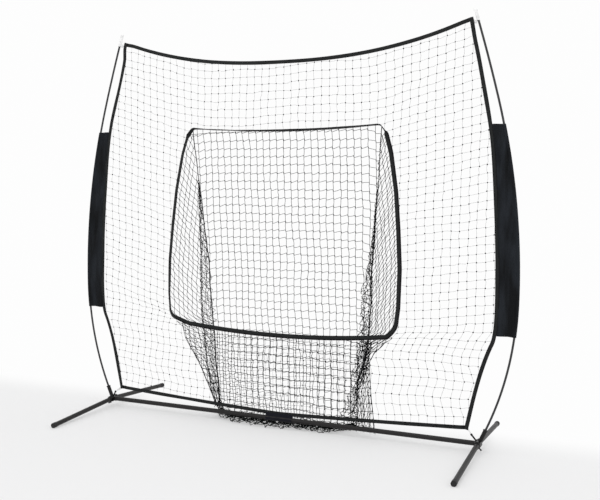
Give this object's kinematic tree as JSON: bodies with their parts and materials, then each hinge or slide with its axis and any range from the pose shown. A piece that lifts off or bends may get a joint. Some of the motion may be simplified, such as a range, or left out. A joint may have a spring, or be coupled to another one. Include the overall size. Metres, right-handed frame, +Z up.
{
  "type": "ball catch net with pocket",
  "caption": "Bow-frame netting target with a square opening and a ball pocket, on a low tube base whose legs fold.",
  "frame": {"origin": "on the ground, below the middle of the crossbar", "axes": "+X to the right as the player faces the net, +Y from the face of the net towards the pocket behind it, +Z up"},
  "size_m": [2.5522, 1.1036, 2.1946],
  "materials": {
    "frame_steel": "charcoal powder coat, satin",
    "hub_casting": "charcoal powder coat, satin",
    "foot_rubber": "matt moulded rubber",
    "zinc_steel": "zinc plated",
    "spring_steel": "tempered strip",
    "liner_plastic": "matt",
    "pole_fibreglass": "smooth pultruded rod, slight gloss",
    "hook_coating": "dipped black coating",
    "white_webbing": "woven polyester webbing",
    "black_webbing": "woven polyester webbing",
    "strap_fabric": "hook-and-loop faced nylon",
    "sleeve_fabric": "coated polyester cloth, slight sheen",
    "face_twine": "thin knotted polyester twine",
    "pocket_twine": "heavier knotted polyester twine"
  },
  "bodies": {
    "base": {"left_hub": "hub_casting", "right_hub": "hub_casting", "left_crossbar": "frame_steel", "right_crossbar": "frame_steel", "crossbar_connector": "zinc_steel", "connector_rivet": "zinc_steel", "snap_spring": "spring_steel", "pivot_bolts": "zinc_steel", "pivot_nuts": "zinc_steel", "left_socket": "frame_steel", "right_socket": "frame_steel", "left_socket_liner": "liner_plastic", "right_socket_liner": "liner_plastic", "left_lower_pole": "pole_fibreglass", "right_lower_pole": "pole_fibreglass", "left_upper_pole": "pole_fibreglass", "right_upper_pole": "pole_fibreglass", "left_ferrule": "zinc_steel", "right_ferrule": "zinc_steel", "left_net_hook": "hook_coating", "right_net_hook": "hook_coating", "left_tip_pocket": "white_webbing", "right_tip_pocket": "white_webbing", "left_top_tie": "white_webbing", "right_top_tie": "white_webbing", "left_bottom_tie": "white_webbing", "right_bottom_tie": "white_webbing", "left_sleeve": "sleeve_fabric", "right_sleeve": "sleeve_fabric", "top_hem": "black_webbing", "bottom_hem": "black_webbing", "left_hem": "black_webbing", "right_hem": "black_webbing", "opening_top_hem": "black_webbing", "opening_bottom_hem": "black_webbing", "opening_left_hem": "black_webbing", "opening_right_hem": "black_webbing", "net_top": "face_twine", "net_bottom": "face_twine", "net_left": "face_twine", "net_right": "face_twine", "pocket_back": "pocket_twine", "pocket_left": "pocket_twine", "pocket_right": "pocket_twine", "pocket_front": "pocket_twine", "pocket_floor": "pocket_twine", "centre_strap": "strap_fabric"},
    "left_front_leg": {"left_front_leg": "frame_steel", "left_front_tongue": "hub_casting", "left_front_foot": "foot_rubber"},
    "left_rear_leg": {"left_rear_leg": "frame_steel", "left_rear_tongue": "hub_casting", "left_rear_foot": "foot_rubber"},
    "right_front_leg": {"right_front_leg": "frame_steel", "right_front_tongue": "hub_casting", "right_front_foot": "foot_rubber"},
    "right_rear_leg": {"right_rear_leg": "frame_steel", "right_rear_tongue": "hub_casting", "right_rear_foot": "foot_rubber"},
    "button": {"snap_button": "zinc_steel"}
  },
  "joints": [
    {"name": "left_front_leg_fold", "type": "hinge", "parent": "base", "child": "left_front_leg", "pos_m": [-1.094, -0.028, 0.046], "axis": [0, 0, 1], "range_deg": [0, 90]},
    {"name": "left_rear_leg_fold", "type": "hinge", "parent": "base", "child": "left_rear_leg", "pos_m": [-1.094, 0.028, 0.046], "axis": [0, 0, -1], "range_deg": [0, 90]},
    {"name": "right_front_leg_fold", "type": "hinge", "parent": "base", "child": "right_front_leg", "pos_m": [1.094, -0.028, 0.046], "axis": [0, 0, -1], "range_deg": [0, 90]},
    {"name": "right_rear_leg_fold", "type": "hinge", "parent": "base", "child": "right_rear_leg", "pos_m": [1.094, 0.028, 0.046], "axis": [0, 0, 1], "range_deg": [0, 90]},
    {"name": "button_press", "type": "slide", "parent": "base", "child": "button", "axis": [0, -1, 0], "range_m": [0, 0.0036], "stiffness_N_per_m": 1500, "springref_m": -0.002, "deforming": ["snap_spring"]}
  ]
}
